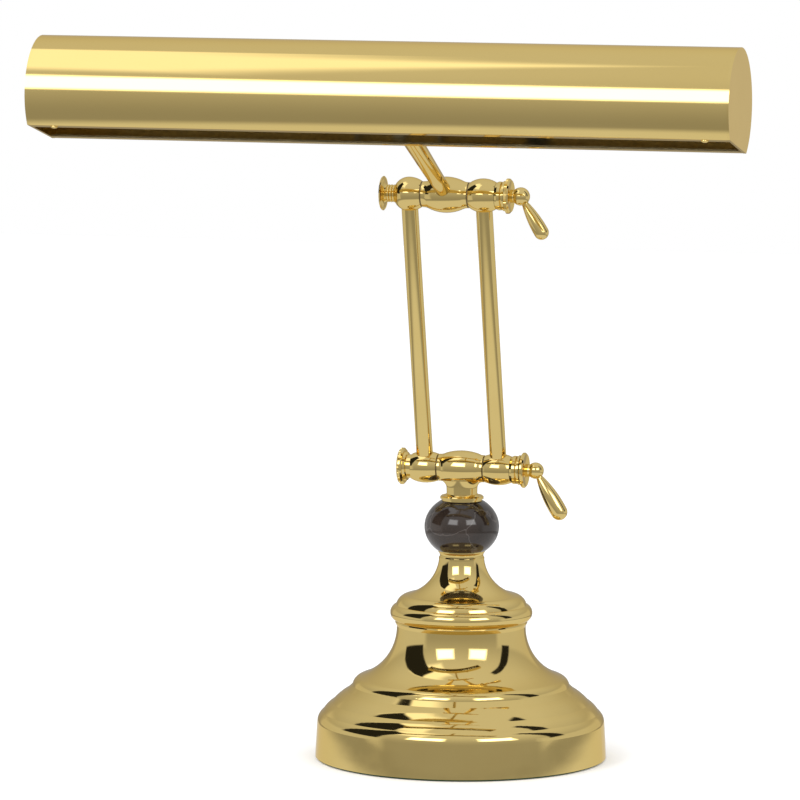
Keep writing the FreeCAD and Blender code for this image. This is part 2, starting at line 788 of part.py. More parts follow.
def stem():
    """Tapered stem from the upper knuckle to the shade, with collar, nipple and nut."""
    tube = at_upper_joint(new_body("stem_tube"), lean="stem_angle")
    top = f"{wall_face} - shade_collar_height"
    turned(tube, [
        ("stem_bore", "stem_floor"),
        ("stem_thin", "stem_floor"),
        ("stem_thin", "stem_straight"),
        ("stem_thick", top),
        ("stem_bore", top),
    ])
    collar = at_upper_joint(new_body("shade_collar"), lean="stem_angle")
    turned(collar, [
        ("stem_bore", top),
        ("stem_thick + shade_collar_lip", top, "shade_collar_sweep", -1),
        ("shade_collar_radius", f"{wall_face} - shade_collar_rim"),
        ("shade_collar_radius", wall_face),
        ("stem_bore", wall_face),
    ])
    nipple = at_upper_joint(new_body("shade_nipple"), lean="stem_angle")
    nipple_low = f"{wall_face} - nipple_grip"
    turned(nipple, ring("nipple_bore", "stem_bore - fit", nipple_low, f"{wall_face} + nipple_proud"))
    nut = at_upper_joint(new_body("shade_nut"), lean="stem_angle")
    seat = f"{bracket_face} + bracket_thick"
    padded(nut, hexagon("shade_nut_flats"), "shade_nut_thick", role="XY_Plane", shift=("0", "0", seat))
    turned(nut, ring("0", "stem_bore", f"{seat} - 1", f"{seat} + shade_nut_thick + 1"), cut=True)


def shade_shell():
    """Long round shade, open below between two turned-in lips."""
    body = at_shade(new_body("shade_shell"))
    lip = f"({half_chord} - lip_width)"
    low = "-opening_depth"
    inside = "-opening_depth + shade_wall"
    padded(body, [
        (f"-{lip}", low),
        (f"-{lip}", inside),
        (f"-{inner_chord}", inside, inner_radius, -1, -1),
        (inner_chord, inside),
        (lip, inside),
        (lip, low),
        (half_chord, low, "shade_radius", 1, -1),
        (f"-{half_chord}", low),
    ], f"2 * {shell_half}", shift=("0", "0", f"-{shell_half}"))
    wall_low = "-shade_radius - 2"
    wall_high = "-shade_radius + 3"
    turn = "stem_angle + opening_tilt"
    turned(body, ring("0", "stem_bore", wall_low, wall_high), cut=True, role="YZ_Plane", turn=turn)
    turned(body, ring("0", "switch_bush + fit", wall_low, wall_high), cut=True, role="YZ_Plane",
           shift=("0", "0", "switch_place"), turn=turn)
    for side in (-1, 1):
        hole = (f"{side} * ({shade_half} - tab_screw_inset)", "0", f"{half_chord} - lip_width / 2")
        turned(body, ring("0", "screw_radius + fit", f"{low} - 1", f"{inside} + 1"), cut=True, shift=hole)


def end_cap(label, side):
    """Flat end cap with a tab that lies on the front lip."""
    body = at_shade(new_body(label))
    start = shell_half if side > 0 else f"-{shade_half}"
    padded(body, [
        (half_chord, "-opening_depth", "shade_radius", 1, -1),
        (f"-{half_chord}", "-opening_depth"),
    ], "end_cap_thick", shift=("0", "0", start))
    front = f"-{half_chord} + shade_wall + tab_inset"
    back = f"-{half_chord} + lip_width - tab_inset"
    near = f"{side} * {shell_half}"
    far = f"{side} * ({shell_half} - tab_length)"
    left, right = (near, far) if side < 0 else (far, near)
    tab = [(left, front), (right, front), (right, back), (left, back)]
    padded(body, tab, "tab_thick", role="XY_Plane", shift=("0", "0", "-opening_depth + shade_wall"))
    hole = (f"{side} * ({shade_half} - tab_screw_inset)", "0", f"{half_chord} - lip_width / 2")
    bore = ring("0", "screw_radius + fit", "-opening_depth", "-opening_depth + 4")
    turned(body, bore, cut=True, shift=hole)


def end_cap_screw(label, side):
    """Small round-headed screw up through the lip into the cap's tab."""
    body = at_shade(new_body(label))
    seat = "-opening_depth"
    axis_place = (f"{side} * ({shade_half} - tab_screw_inset)", "0", f"{half_chord} - lip_width / 2")
    turned(body, [
        ("0", f"{seat} - screw_head_height"),
        ("screw_crown_radius", f"{seat} - screw_head_height + screw_crown"),
        ("screw_head_radius", f"{seat} - screw_edge"),
        ("screw_head_radius", seat),
        ("screw_radius", seat),
        ("screw_radius", f"{seat} + shade_wall + tab_thick + screw_proud"),
        ("0", f"{seat} + shade_wall + tab_thick + screw_proud"),
    ], shift=axis_place)


def socket_bracket():
    """Steel strip under the nut, with two upright ears that carry the lamp holders."""
    body = at_upper_joint(new_body("socket_bracket"), lean="stem_angle")
    floor = bracket_face
    top = "stem_reach + bracket_rise"
    thick = "bracket_thick"
    padded(body, [
        ("-bracket_half", floor),
        ("bracket_half", floor),
        ("bracket_half", top),
        (f"bracket_half - {thick}", top),
        (f"bracket_half - {thick}", f"{floor} + {thick}"),
        (f"-bracket_half + {thick}", f"{floor} + {thick}"),
        (f"-bracket_half + {thick}", top),
        ("-bracket_half", top),
    ], "2 * bracket_half_width", role="XZ_Plane", shift=("0", "0", "-bracket_half_width"))
    turned(body, ring("0", "stem_bore", f"{floor} - 1", f"{floor} + {thick} + 1"), cut=True)


def lamp_holder(name, side):
    """Lamp holder, bulb base and glass bulb on the shade's axis, on one side of the bracket."""
    start = "bracket_half"
    mouth = f"({start} + socket_length)"
    glass = f"({mouth} + bulb_gap)"
    socket = at_shade(new_body(f"{name}_socket"))
    turned(socket, [
        (f"{side} * {start}", "0"),
        (f"{side} * {start}", "socket_radius - socket_chamfer"),
        (f"{side} * ({start} + socket_chamfer)", "socket_radius"),
        (f"{side} * {mouth}", "socket_radius"),
        (f"{side} * {mouth}", "socket_bore"),
        (f"{side} * ({start} + socket_floor)", "socket_bore"),
        (f"{side} * ({start} + socket_floor)", "0"),
    ], axis="H_Axis")
    base = at_shade(new_body(f"{name}_bulb_base"))
    base_start = f"({glass} - bulb_base_length - bulb_base_chamfer)"
    turned(base, [
        (f"{side} * ({base_start} - bulb_contact)", "0"),
        (f"{side} * ({base_start} - bulb_contact)", "bulb_contact_radius"),
        (f"{side} * {base_start}", "bulb_base_radius - bulb_base_chamfer"),
        (f"{side} * ({base_start} + bulb_base_chamfer)", "bulb_base_radius"),
        (f"{side} * {glass}", "bulb_base_radius"),
        (f"{side} * {glass}", "bulb_base_radius - bulb_base_wall"),
        (f"{side} * ({base_start} + bulb_base_chamfer)", "bulb_base_radius - bulb_base_wall"),
        (f"{side} * ({base_start} + bulb_base_chamfer)", "0"),
    ], axis="H_Axis")
    bulb = at_shade(new_body(f"{name}_bulb"))
    end = f"({glass} + bulb_length)"
    shoulder = f"({glass} + bulb_neck)"
    dome = "bulb_radius"
    bend = -side
    inner = "bulb_radius - glass_wall"
    turned(bulb, [
        (f"{side} * {glass}", "0"),
        (f"{side} * {glass}", "bulb_base_radius"),
        (f"{side} * {shoulder}", "bulb_radius"),
        (f"{side} * ({end} - bulb_radius)", "bulb_radius", dome, bend),
        (f"{side} * {end}", "0"),
        (f"{side} * ({end} - glass_wall)", "0", inner, -bend),
        (f"{side} * ({end} - bulb_radius)", inner),
        (f"{side} * {shoulder}", inner),
        (f"{side} * ({glass} + glass_wall)", "bulb_base_radius - glass_wall"),
        (f"{side} * ({glass} + glass_wall)", "0"),
    ], axis="H_Axis")


def rotary_switch():
    """Switch body inside the shade, its nut outside, and the knob that turns on its shaft."""
    body = at_upper_joint(new_body("switch_body"), "switch_place", lean="stem_angle")
    inside = f"({wall_face} + shade_wall + switch_body_gap)"
    bush_end = f"{wall_face} - switch_nut_thick - switch_bush_end"
    turned(body, [
        ("0", f"{wall_face} - switch_nut_thick - switch_shaft_length"),
        ("switch_shaft_radius", f"{wall_face} - switch_nut_thick - switch_shaft_length"),
        ("switch_shaft_radius", bush_end),
        ("switch_bush", bush_end),
        ("switch_bush", inside),
        ("switch_body_radius", inside),
        ("switch_body_radius", f"{inside} + switch_body_depth"),
        ("0", f"{inside} + switch_body_depth"),
    ])
    nut = at_upper_joint(new_body("switch_nut"), "switch_place", lean="stem_angle")
    turned(nut, [
        ("switch_bush + fit", f"{wall_face} - switch_nut_thick"),
        ("switch_nut_radius - switch_nut_chamfer", f"{wall_face} - switch_nut_thick"),
        ("switch_nut_radius", f"{wall_face} - switch_nut_thick + switch_nut_chamfer"),
        ("switch_nut_radius", wall_face),
        ("switch_bush + fit", wall_face),
    ])
    knob = at_upper_joint(new_body("switch_knob"), "switch_place", lean="stem_angle")
    near = f"({wall_face} - switch_nut_thick - knob_gap)"
    turned(knob, [
        ("switch_shaft_radius + fit", near),
        ("switch_knob_radius", near),
        ("switch_knob_radius", f"{near} - switch_knob_skirt"),
        ("switch_knob_radius - switch_knob_draft", f"{near} - switch_knob_length + switch_knob_round"),
        ("switch_knob_radius - switch_knob_draft - switch_knob_round", f"{near} - switch_knob_length"),
        ("0", f"{near} - switch_knob_length - switch_knob_crown"),
        ("0", f"{near} - switch_shaft_length"),
        ("switch_shaft_radius + fit", f"{near} - switch_shaft_length"),
    ])
    pointer = "switch_knob_pointer"
    low = "switch_knob_radius - switch_pointer_sink"
    high = "switch_knob_radius + switch_pointer_rise"
    outline = [(f"-{pointer}", low), (pointer, low), (pointer, high), (f"-{pointer}", high)]
    start = f"{near} - switch_knob_length + switch_pointer_inset"
    length = "switch_knob_length - 2 * switch_pointer_inset"
    padded(knob, outline, length, role="XY_Plane", shift=("0", "0", start))


def check_and_export():
    """Stop on any failed object, then write each sub-part's shape."""
    document.recompute()
    for item in document.Objects:
        if "Invalid" in item.State or "Error" in item.State:
            raise RuntimeError(f"{item.Label} failed: {item.State}")
    os.makedirs("parts", exist_ok=True)
    for piece in subparts:
        shape = piece.Shape
        if shape.isNull() or not shape.isValid() or not shape.Solids:
            raise RuntimeError(f"{piece.Label} has no valid solid")
        shape.exportStep(f"parts/{piece.Label}.step")
        print(f"{piece.Label}: {shape.Volume / 1000:.2f} cm3, {len(shape.Solids)} solid")


base_shell()
base_weight()
plain_base_pieces()
ball_and_collars()
lower_knuckle()
arm_tubes()
bead("lower_left_bead", -1, at_lower_joint, "lower_bead_end", 1)
bead("lower_right_bead", 1, at_lower_joint, "lower_bead_end", 1)
bead("upper_left_bead", -1, at_upper_joint, "upper_left_bead_end", -1)
bead("upper_right_bead", 1, at_upper_joint, "upper_right_bead_end", -1)
friction_washers("lower", at_lower_joint)
friction_washers("upper", at_upper_joint)
clamp_ring("lower_clamp_ring", at_lower_joint)
clamp_ring("upper_clamp_ring", at_upper_joint)
clamp_bolt("lower_clamp_bolt", at_lower_joint, f"-{bead_outer} - knob_neck_width - knob_step_width")
clamp_bolt("upper_clamp_bolt", at_upper_joint, f"-{bead_outer} - 3 * finial_bead_width")
lower_knob()
upper_finial()
clamp_lever("lower_clamp_lever", at_lower_joint)
clamp_lever("upper_clamp_lever", at_upper_joint)
upper_knuckle()
stem()
shade_shell()
end_cap("left_end_cap", -1)
end_cap("right_end_cap", 1)
end_cap_screw("left_end_cap_screw", -1)
end_cap_screw("right_end_cap_screw", 1)
socket_bracket()
lamp_holder("left", -1)
lamp_holder("right", 1)
rotary_switch()
check_and_export()
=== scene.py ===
import math

import bpy
import numpy as np
from mathutils import Matrix, Vector


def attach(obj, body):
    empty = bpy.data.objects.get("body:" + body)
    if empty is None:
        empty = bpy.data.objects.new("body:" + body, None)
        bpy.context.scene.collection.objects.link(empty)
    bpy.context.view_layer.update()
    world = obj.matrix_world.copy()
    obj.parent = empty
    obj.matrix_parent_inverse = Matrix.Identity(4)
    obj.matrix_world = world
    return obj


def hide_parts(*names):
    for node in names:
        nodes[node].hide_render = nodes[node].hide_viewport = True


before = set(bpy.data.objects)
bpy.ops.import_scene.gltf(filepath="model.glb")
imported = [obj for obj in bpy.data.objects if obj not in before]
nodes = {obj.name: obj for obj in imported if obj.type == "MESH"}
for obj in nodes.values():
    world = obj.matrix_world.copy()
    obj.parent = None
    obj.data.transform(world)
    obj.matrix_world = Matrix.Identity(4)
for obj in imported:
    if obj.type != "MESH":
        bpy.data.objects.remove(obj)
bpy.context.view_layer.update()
print("frame loaded:", len(nodes), "nodes")


# Camera: a long lens, a little above the lamp and to its right.
cameraSet = {
    "azimuth": 14.76,  # degrees round from straight in front
    "elevation": 6.42,
    "roll": 0.23,
    "distance": 3.1238,  # metres from the aim point
    "focal": 6000.0,  # in pixels of the frame
    "frameWidth": 800.0,
    "sensor": 36.0,
    "aimAcross": -0.03251,  # aim point, along the camera's own right
    "aimHeight": 0.18783,
    "near": 0.1,
    "far": 20.0,
}


def makeCamera(c):
    # back = the unit vector at the azimuth and elevation; right and up are square to it, then rolled
    a = math.radians(c["azimuth"])
    e = math.radians(c["elevation"])
    rho = math.radians(c["roll"])
    back = Vector((math.sin(a) * math.cos(e), -math.cos(a) * math.cos(e), math.sin(e)))
    right = Vector((math.cos(a), math.sin(a), 0))
    up = back.cross(right)
    aim = right * c["aimAcross"] + Vector((0, 0, c["aimHeight"]))
    rolledRight = right * math.cos(rho) + up * math.sin(rho)
    rolledUp = up * math.cos(rho) - right * math.sin(rho)
    data = bpy.data.cameras.new("camera")
    data.sensor_width = c["sensor"]
    data.lens = c["focal"] / c["frameWidth"] * c["sensor"]
    data.clip_start = c["near"]
    data.clip_end = c["far"]
    camera = bpy.data.objects.new("camera", data)
    bpy.context.collection.objects.link(camera)
    camera.location = aim + back * c["distance"]
    camera.rotation_mode = "QUATERNION"
    camera.rotation_quaternion = Matrix((rolledRight, rolledUp, back)).transposed().to_quaternion()
    bpy.context.scene.camera = camera


makeCamera(cameraSet)
print("camera placed")


# Studio: white world, pale floor, soft lamps, and a plain dome with soft boxes that only metal sees.
studioSet = {
    "ambient": 1.15,  # the world's level for diffuse light
    "floorSize": 6.0,
    "floorDrop": 0.0002,  # the floor's face and the felt's stay apart
    "floorTone": (0.93, 0.93, 0.93),
    "floorRoughness": 0.9,
    "aim": (0, 0, 0.2),
}

# The two soft lamps: place, size, power.
lampSet = {
    "keyLamp": ((-0.9, -1.4, 1.5), 0.9, 14.0),
    "fillLamp": ((1.3, -1.0, 1.1), 1.0, 6.0),
}

# The dome's level rises smoothly from its foot to its top, the same all round.
domeSet = {
    "radius": 1.5,
    "centreHeight": 0.2,
    "columns": 480,
    "rows": 240,
    "footLevel": 0.35,
    "topLevel": 0.70,
    "riseStart": -30.0,  # degrees of elevation
    "riseEnd": 60.0,
}

# Soft boxes, side cards and black flags: azimuth from, to, elevation from, to (degrees, from the camera),
# level, softness.
panelSet = {
    "leftSide": (-150, -65, -35, 10, 0.65, 5.0),
    "rightSide": (65, 150, -35, 10, 0.65, 5.0),
    "overheadBox": (-110, -40, 45, 75, 1.40, 5.0),
    "leftSoftbox": (-45, -15, 15, 35, 4.0, 3.0),
    "rightSoftbox": (15, 45, 15, 35, 4.0, 3.0),
    "leftFlag": (-110, -70, 5, 60, 0.02, 1.5),
    "rightFlag": (75, 90, 5, 60, 0.02, 1.5),
}

# A pale table top round the base, which the metal alone sees.
tableSet = {
    "hole": 0.001,
    "radius": 0.60,
    "soft": 0.15,
    "level": 0.75,
    "outerLevel": 0.35,
    "drop": 0.04,
    "rings": 24,
    "columns": 96,
}


def makeDome(s, panels, cameraAzimuth):
    # a sphere whose level at each vertex is the smooth rise blended towards each panel's own level
    columns, rows = s["columns"], s["rows"]
    around = np.linspace(-180, 180, columns, endpoint=False)
    height = np.linspace(-90, 90, rows + 1)
    azimuth, elevation = np.meshgrid(around, height)
    climb = np.clip((elevation - s["riseStart"]) / (s["riseEnd"] - s["riseStart"]), 0, 1)
    level = s["footLevel"] + (s["topLevel"] - s["footLevel"]) * climb * climb * (3 - 2 * climb)
    for left, right, low, high, value, soft in panels.values():
        middle = (left + right) / 2
        aside = np.abs((azimuth - middle + 180) % 360 - 180) - (right - left) / 2
        above = np.abs(elevation - (low + high) / 2) - (high - low) / 2
        cover = np.clip(0.5 - np.maximum(aside, above) / (2 * soft), 0, 1)
        cover = cover * cover * (3 - 2 * cover)
        level = level * (1 - cover) + value * cover
    turned = np.radians(azimuth + cameraAzimuth)
    rise = np.radians(elevation)
    places = np.stack([
        np.sin(turned) * np.cos(rise) * s["radius"],
        -np.cos(turned) * np.cos(rise) * s["radius"],
        np.sin(rise) * s["radius"] + s["centreHeight"],
    ], axis=-1).reshape(-1, 3)
    makeGlow("studioDome", places, ringFaces(rows, columns)[..., ::-1], level)


def glowMaterial(name):
    # a lamp that takes its level from the mesh's own attribute
    material = bpy.data.materials.new(name)
    material.use_nodes = True
    tree = material.node_tree
    tree.nodes.clear()
    reader = tree.nodes.new("ShaderNodeAttribute")
    reader.attribute_name = "glow"
    light = tree.nodes.new("ShaderNodeEmission")
    tree.links.new(reader.outputs["Fac"], light.inputs["Strength"])
    out = tree.nodes.new("ShaderNodeOutputMaterial")
    tree.links.new(light.outputs["Emission"], out.inputs["Surface"])
    return material


def makeGlow(name, places, faces, level):
    # a staged surface that only glossy rays see
    mesh = bpy.data.meshes.new(name)
    mesh.from_pydata(places.tolist(), [], faces.reshape(-1, 4).tolist())
    glow = mesh.attributes.new("glow", "FLOAT", "POINT")
    glow.data.foreach_set("value", level.astype(np.float32).ravel())
    surface = bpy.data.objects.new(name, mesh)
    bpy.context.collection.objects.link(surface)
    surface.data.materials.append(glowMaterial(name + "Glow"))
    surface.visible_camera = False
    surface.visible_diffuse = False
    surface.visible_shadow = False
    surface.visible_transmission = False


def ringFaces(rows, columns):
    # the quads of rows of points that close on themselves
    row = np.arange(rows)[:, None] * columns
    column = np.arange(columns)[None, :]
    beside = (column + 1) % columns
    return np.stack([row + column, row + beside, row + columns + beside, row + columns + column], axis=-1)


def makeTable(name, s):
    # a disc whose level fades towards its rim
    turn = np.linspace(0, 2 * np.pi, s["columns"], endpoint=False)
    reach = np.linspace(s["hole"], s["radius"] + s["soft"], s["rings"] + 1)
    spread, around = np.meshgrid(reach, turn, indexing="ij")
    fade = np.clip((s["radius"] - spread) / s["soft"], 0, 1)
    level = s["outerLevel"] + (s["level"] - s["outerLevel"]) * fade * fade * (3 - 2 * fade)
    low = np.full_like(spread, -s["drop"])
    places = np.stack([spread * np.cos(around), spread * np.sin(around), low], axis=-1)
    makeGlow(name, places.reshape(-1, 3), ringFaces(s["rings"], s["columns"]), level)


def makeWorld(s):
    # pure white to the camera and through glass, a little over white for diffuse light
    world = bpy.data.worlds.new("studio")
    bpy.context.scene.world = world
    world.use_nodes = True
    tree = world.node_tree
    tree.nodes.clear()
    path = tree.nodes.new("ShaderNodeLightPath")
    seen = tree.nodes.new("ShaderNodeMath")
    seen.operation = "MAXIMUM"
    tree.links.new(path.outputs["Is Camera Ray"], seen.inputs[0])
    tree.links.new(path.outputs["Is Transmission Ray"], seen.inputs[1])
    soft = tree.nodes.new("ShaderNodeBackground")
    soft.inputs["Strength"].default_value = s["ambient"]
    white = tree.nodes.new("ShaderNodeBackground")
    white.inputs["Color"].default_value = (1, 1, 1, 1)
    white.inputs["Strength"].default_value = 1.0
    soft.inputs["Color"].default_value = (1, 1, 1, 1)
    mix = tree.nodes.new("ShaderNodeMixShader")
    tree.links.new(seen.outputs[0], mix.inputs["Fac"])
    tree.links.new(soft.outputs[0], mix.inputs[1])
    tree.links.new(white.outputs[0], mix.inputs[2])
    out = tree.nodes.new("ShaderNodeOutputWorld")
    tree.links.new(mix.outputs[0], out.inputs["Surface"])


def makeFloor(s):
    # pale floor under the lamp; the metal sees the dome's lower half instead of it
    half = s["floorSize"] / 2
    mesh = bpy.data.meshes.new("floor")
    low = -s["floorDrop"]
    corners = [(-half, -half, low), (half, -half, low), (half, half, low), (-half, half, low)]
    mesh.from_pydata(corners, [], [(0, 1, 2, 3)])
    floor = bpy.data.objects.new("floor", mesh)
    bpy.context.collection.objects.link(floor)
    material = bpy.data.materials.new("floorPale")
    material.use_nodes = True
    shader = material.node_tree.nodes["Principled BSDF"]
    shader.inputs["Base Color"].default_value = (*s["floorTone"], 1)
    shader.inputs["Roughness"].default_value = s["floorRoughness"]
    floor.data.materials.append(material)
    floor.visible_glossy = False


def makeLamp(name, place, aim, size, power):
    data = bpy.data.lights.new(name, "AREA")
    data.shape = "SQUARE"
    data.size = size
    data.energy = power
    lamp = bpy.data.objects.new(name, data)
    bpy.context.collection.objects.link(lamp)
    lamp.location = place
    lamp.rotation_mode = "QUATERNION"
    lamp.rotation_quaternion = (Vector(aim) - Vector(place)).to_track_quat("-Z", "Y")
    lamp.visible_glossy = False


makeWorld(studioSet)
makeFloor(studioSet)
makeDome(domeSet, panelSet, cameraSet["azimuth"])
makeTable("tableTop", tableSet)
for lampName, (lampPlace, lampSize, lampPower) in lampSet.items():
    makeLamp(lampName, lampPlace, studioSet["aim"], lampSize, lampPower)
bpy.context.scene.view_settings.view_transform = "Standard"
print("studio ready")


# Finishes. Every pattern reads Object coordinates, in metres.
brassSet = {
    "tone": (0.845, 0.65, 0.255),
    "deepTone": (0.815, 0.615, 0.23),
    "edgeTone": (0.93, 0.82, 0.60),
    "roughness": 0.04,
    "hazeGain": 2.2,  # how much rougher the haziest places are
    "hazeFineness": 3.1,  # against the smudges
    "smudgeScale": 28.0,
    "polishScale": 170.0,
    "polishBump": 0.10,
    "polishDepth": 0.00004,
}


def newMaterial(name):
    material = bpy.data.materials.new(name)
    material.use_nodes = True
    return material, material.node_tree, material.node_tree.nodes["Principled BSDF"]


def noise(tree, scale, detail=4.0, stretch=(1, 1, 1)):
    # fractal noise over the object's own coordinates, stretched along its axes
    where = tree.nodes.new("ShaderNodeTexCoord")
    shape = tree.nodes.new("ShaderNodeMapping")
    shape.inputs["Scale"].default_value = stretch
    tree.links.new(where.outputs["Object"], shape.inputs["Vector"])
    cloud = tree.nodes.new("ShaderNodeTexNoise")
    cloud.inputs["Scale"].default_value = scale
    cloud.inputs["Detail"].default_value = detail
    tree.links.new(shape.outputs["Vector"], cloud.inputs["Vector"])
    return cloud


def ramp(tree, source, stops):
    # a colour ramp; stops are (place, colour)
    band = tree.nodes.new("ShaderNodeValToRGB")
    for index, (place, colour) in enumerate(stops):
        stop = band.color_ramp.elements[index] if index < 2 else band.color_ramp.elements.new(place)
        stop.position = place
        stop.color = (*colour, 1)
    tree.links.new(source, band.inputs["Fac"])
    return band


def bump(tree, shader, source, strength, distance):
    lift = tree.nodes.new("ShaderNodeBump")
    lift.inputs["Strength"].default_value = strength
    lift.inputs["Distance"].default_value = distance
    tree.links.new(source, lift.inputs["Height"])
    tree.links.new(lift.outputs["Normal"], shader.inputs["Normal"])


def makeBrass(name="polishedBrass", stretch=(1, 1, 1)):
    # mirror brass: a faint warm drift of tone, a little haze where it has been handled
    s = brassSet
    material, tree, shader = newMaterial(name)
    shader.inputs["Metallic"].default_value = 1.0
    shader.inputs["Specular Tint"].default_value = (*s["edgeTone"], 1)
    drift = noise(tree, s["smudgeScale"], 3.0, stretch)
    tone = ramp(tree, drift.outputs["Fac"], [(0.3, s["deepTone"]), (0.7, s["tone"])])
    tree.links.new(tone.outputs["Color"], shader.inputs["Base Color"])
    haze = noise(tree, s["smudgeScale"] * s["hazeFineness"], 5.0, stretch)
    low = s["roughness"]
    rough = ramp(tree, haze.outputs["Fac"], [(0.35, (low,) * 3), (0.75, (low * s["hazeGain"],) * 3)])
    tree.links.new(rough.outputs["Color"], shader.inputs["Roughness"])
    ripple = noise(tree, s["polishScale"], 2.0, stretch)
    bump(tree, shader, ripple.outputs["Fac"], s["polishBump"], s["polishDepth"])
    return material


marbleSet = {
    "darkGround": (0.010, 0.0064, 0.0047),
    "paleGround": (0.037, 0.025, 0.0185),
    "vein": (0.12, 0.105, 0.098),
    "cloudScale": 55.0,
    "warpScale": 30.0,
    "warp": 0.035,  # metres that the veins are bent by
    "veinScale": 48.0,
    "veinWidth": 0.022,
    "roughness": 0.085,
    "bend": 1.62,  # index of refraction
}


def makeMarble(s):
    # dark grey-brown marble: cloudy ground, with thin pale veins where a bent wave passes its crest
    material, tree, shader = newMaterial("darkMarble")
    cloud = noise(tree, s["cloudScale"], 8.0)
    ground = ramp(tree, cloud.outputs["Fac"], [(0.3, s["darkGround"]), (0.75, s["paleGround"])])
    warp = noise(tree, s["warpScale"], 6.0)
    where = tree.nodes.new("ShaderNodeTexCoord")
    shift = tree.nodes.new("ShaderNodeVectorMath")
    shift.operation = "MULTIPLY_ADD"
    shift.inputs[1].default_value = (s["warp"],) * 3
    tree.links.new(warp.outputs["Color"], shift.inputs[0])
    tree.links.new(where.outputs["Object"], shift.inputs[2])
    vein = tree.nodes.new("ShaderNodeTexVoronoi")
    vein.feature = "DISTANCE_TO_EDGE"
    vein.inputs["Scale"].default_value = s["veinScale"]
    tree.links.new(shift.outputs["Vector"], vein.inputs["Vector"])
    line = ramp(tree, vein.outputs["Distance"], [(0.0, (1, 1, 1)), (s["veinWidth"], (0, 0, 0))])
    fade = tree.nodes.new("ShaderNodeMath")
    fade.operation = "MULTIPLY"
    tree.links.new(line.outputs["Color"], fade.inputs[0])
    tree.links.new(cloud.outputs["Fac"], fade.inputs[1])
    mix = tree.nodes.new("ShaderNodeMixRGB")
    mix.inputs["Color2"].default_value = (*s["vein"], 1)
    tree.links.new(fade.outputs[0], mix.inputs["Fac"])
    tree.links.new(ground.outputs["Color"], mix.inputs["Color1"])
    tree.links.new(mix.outputs["Color"], shader.inputs["Base Color"])
    shader.inputs["Roughness"].default_value = s["roughness"]
    shader.inputs["IOR"].default_value = s["bend"]
    return material


def makeGrained(name, dark, light, roughness, scale, strength, metallic=0.0, sheen=0.0, distance=0.0002):
    # plain finish with a fine grain: noise tints the colour and lifts the surface
    material, tree, shader = newMaterial(name)
    grain = noise(tree, scale, 6.0)
    tone = ramp(tree, grain.outputs["Fac"], [(0.3, dark), (0.7, light)])
    tree.links.new(tone.outputs["Color"], shader.inputs["Base Color"])
    shader.inputs["Roughness"].default_value = roughness
    shader.inputs["Metallic"].default_value = metallic
    shader.inputs["Sheen Weight"].default_value = sheen
    bump(tree, shader, grain.outputs["Fac"], strength, distance)
    return material


def makeGlass():
    # bulb glass: lets most light through, with a faint frost over it
    material, tree, shader = newMaterial("bulbGlass")
    frost = noise(tree, 90.0, 3.0)
    tone = ramp(tree, frost.outputs["Fac"], [(0.2, (0.94, 0.94, 0.92)), (0.8, (0.98, 0.98, 0.96))])
    tree.links.new(tone.outputs["Color"], shader.inputs["Base Color"])
    shader.inputs["Transmission Weight"].default_value = 0.85
    shader.inputs["Roughness"].default_value = 0.28
    shader.inputs["IOR"].default_value = 1.45
    return material


brass = makeBrass()
longBrass = makeBrass("shadeBrass", (0.25, 1, 1))
# the shade's inner side: rougher, less polished brass, its tone also darkened as painted shade inside the
# shade
shadedInsideBrass = makeGrained("shadedInsideBrass", (0.56, 0.47, 0.27), (0.68, 0.57, 0.33), 0.3, 400.0, 0.2, 1.0)
marble = makeMarble(marbleSet)
castIron = makeGrained("castIron", (0.03, 0.03, 0.032), (0.08, 0.08, 0.085), 0.7, 700.0, 0.6, 0.6)
zincSteel = makeGrained("zincSteel", (0.42, 0.43, 0.44), (0.62, 0.62, 0.60), 0.3, 500.0, 0.15, 1.0)
felt = makeGrained("greenFelt", (0.010, 0.045, 0.022), (0.022, 0.085, 0.042), 0.95, 1600.0, 0.9, 0.0, 0.6)
rubber = makeGrained("blackRubber", (0.012, 0.012, 0.012), (0.03, 0.03, 0.03), 0.6, 900.0, 0.3)
phenolic = makeGrained("blackPhenolic", (0.010, 0.009, 0.009), (0.028, 0.025, 0.022), 0.35, 300.0, 0.15)
fibre = makeGrained("brownFibre", (0.16, 0.11, 0.045), (0.26, 0.19, 0.085), 0.45, 900.0, 0.3, 0.8)
bulbGlass = makeGlass()

finishOf = {
    "base_weight": castIron,
    "felt_pad": felt,
    "bottom_plate": zincSteel,
    "centre_rod": zincSteel,
    "rod_washer": zincSteel,
    "rod_nut": zincSteel,
    "cord_bushing": rubber,
    "marble_ball": marble,
    "shade_nipple": zincSteel,
    "shade_nut": zincSteel,
    "socket_bracket": zincSteel,
    "left_socket": phenolic,
    "right_socket": phenolic,
    "left_bulb": bulbGlass,
    "right_bulb": bulbGlass,
    "switch_body": phenolic,
    "lower_clamp_bolt": zincSteel,
    "upper_clamp_bolt": zincSteel,
    "shade_shell": longBrass,
}


def dressNodes():
    for name, piece in nodes.items():
        finish = fibre if "friction" in name else finishOf.get(name, brass)
        piece.data.materials.clear()
        piece.data.materials.append(finish)


dressNodes()
print("finishes laid on")


# Shade: the shell again with its two folds rounded, which the solid leaves sharp.
shadeSet = {
    "back": -0.156737,
    "height": 0.354010,
    "tilt": -13.0,
    "half": 0.1764,
    "radius": 0.028568,
    "wall": 0.001,
    "depth": 0.020,
    "lip": 0.006,
    "fold": 0.0017,
    "arcPoints": 180,
    "foldPoints": 12,
}


sharpAngle = 35  # degrees; a wider crease than this stays crisp


